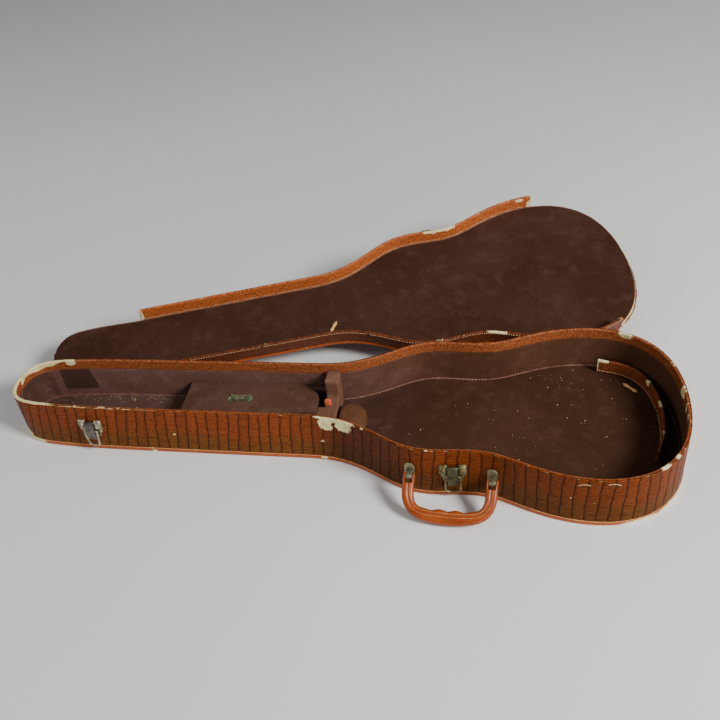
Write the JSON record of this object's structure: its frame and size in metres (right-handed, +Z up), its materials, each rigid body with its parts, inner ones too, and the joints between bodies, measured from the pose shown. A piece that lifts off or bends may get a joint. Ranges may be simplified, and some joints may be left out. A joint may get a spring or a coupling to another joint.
{
  "type": "guitar case",
  "caption": "Old guitar-shaped carrying case, lid open: embossed leatherette over board, plush lining, a lidded accessory box, neck rest, telescoping lid rim, draw latches and a swinging handle.",
  "frame": {"origin": "on the underside of the flat base, half way along its length, on the body's centre line", "axes": "+X along the case towards the lower bout, +Y from the latch side towards the hinges, +Z up"},
  "size_m": [1.0716, 0.72, 0.1377],
  "materials": {
    "leatherette": "worn crocodile embossing",
    "binding": "worn",
    "board": "raw",
    "plush": "worn nap",
    "handle_plastic": "worn",
    "orange_tab": "worn",
    "nickel": "tarnished",
    "brass": "tarnished"
  },
  "bodies": {
    "case_body": {"bottom_covering": "leatherette", "bottom_board": "board", "floor_pad": "plush", "wall_front": "board", "covering_front": "leatherette", "binding_front": "binding", "lining_front": "plush", "wall_back": "board", "covering_back": "leatherette", "binding_back": "binding", "lining_back": "plush", "neck_rest": "plush", "heel_pad": "plush", "notch_tab": "orange_tab", "compartment_end": "plush", "compartment_cleat_front": "board", "compartment_cleat_back": "board", "loose_rim_piece": "leatherette", "hinge_neck_tray_leaf": "nickel", "hinge_neck_pin": "nickel", "hinge_shoulder_tray_leaf": "nickel", "hinge_shoulder_pin": "nickel", "hinge_bout_tray_leaf": "nickel", "hinge_bout_pin": "nickel", "latch_head_plate": "nickel", "latch_head_pin": "nickel", "latch_body_plate": "brass", "latch_body_pin": "brass", "handle_bracket_head": "nickel", "handle_pin_head": "nickel", "handle_bracket_tail": "nickel", "handle_pin_tail": "nickel"},
    "lid": {"lid_lining": "plush", "lid_panel": "board", "lid_covering": "leatherette", "rim_front": "board", "rim_covering_front": "leatherette", "lid_binding_front": "binding", "rim_back": "board", "rim_covering_back": "leatherette", "lid_binding_back": "binding", "hinge_neck_lid_leaf": "nickel", "hinge_shoulder_lid_leaf": "nickel", "hinge_bout_lid_leaf": "nickel", "latch_catch": "nickel"},
    "compartment_lid": {"compartment_lid": "plush", "pull_plate": "brass"},
    "pull_bail": {"pull_bail": "brass"},
    "handle": {"handle": "handle_plastic"},
    "latch_head_lever": {"latch_head_lever": "nickel"},
    "latch_head_loop": {"latch_head_loop": "nickel"},
    "latch_body_lever": {"latch_body_lever": "brass"},
    "latch_body_loop": {"latch_body_loop": "brass"}
  },
  "joints": [
    {"name": "lid_hinge", "type": "hinge", "parent": "case_body", "child": "lid", "pos_m": [0, 0.1231, 0.064], "axis": [0.9891, 0.1474, 0], "range_deg": [0, 167.5]},
    {"name": "latch_head_lever_swing", "type": "hinge", "parent": "case_body", "child": "latch_head_lever", "pos_m": [-0.3901, -0.06475, 0.061], "axis": [0.9997, -0.0249, 0], "range_deg": [-100, 0]},
    {"name": "latch_head_loop_swing", "type": "hinge", "parent": "latch_head_lever", "child": "latch_head_loop", "pos_m": [-0.39019, -0.06865, 0.047], "axis": [-0.9997, 0.0249, 0], "range_deg": [0, 170]},
    {"name": "latch_body_lever_swing", "type": "hinge", "parent": "case_body", "child": "latch_body_lever", "pos_m": [0.19622, -0.1284, 0.061], "axis": [0.9985, 0.0552, 0], "range_deg": [-100, 0]},
    {"name": "latch_body_loop_swing", "type": "hinge", "parent": "latch_body_lever", "child": "latch_body_loop", "pos_m": [0.19643, -0.13229, 0.047], "axis": [-0.9985, -0.0552, 0], "range_deg": [0, 170]},
    {"name": "handle_swing", "type": "hinge", "parent": "case_body", "child": "handle", "pos_m": [0.19304, -0.13567, 0.045], "axis": [-0.9986, 0.0533, 0], "range_deg": [0, 95]},
    {"name": "compartment_lid_hinge", "type": "hinge", "parent": "case_body", "child": "compartment_lid", "pos_m": [-0.141, 0.05512, 0.05], "axis": [1, 0, 0], "range_deg": [-82, 0]},
    {"name": "pull_swing", "type": "hinge", "parent": "compartment_lid", "child": "pull_bail", "pos_m": [-0.16, 0.0202, 0.0529], "axis": [-1, 0, 0], "range_deg": [0, 100]}
  ]
}
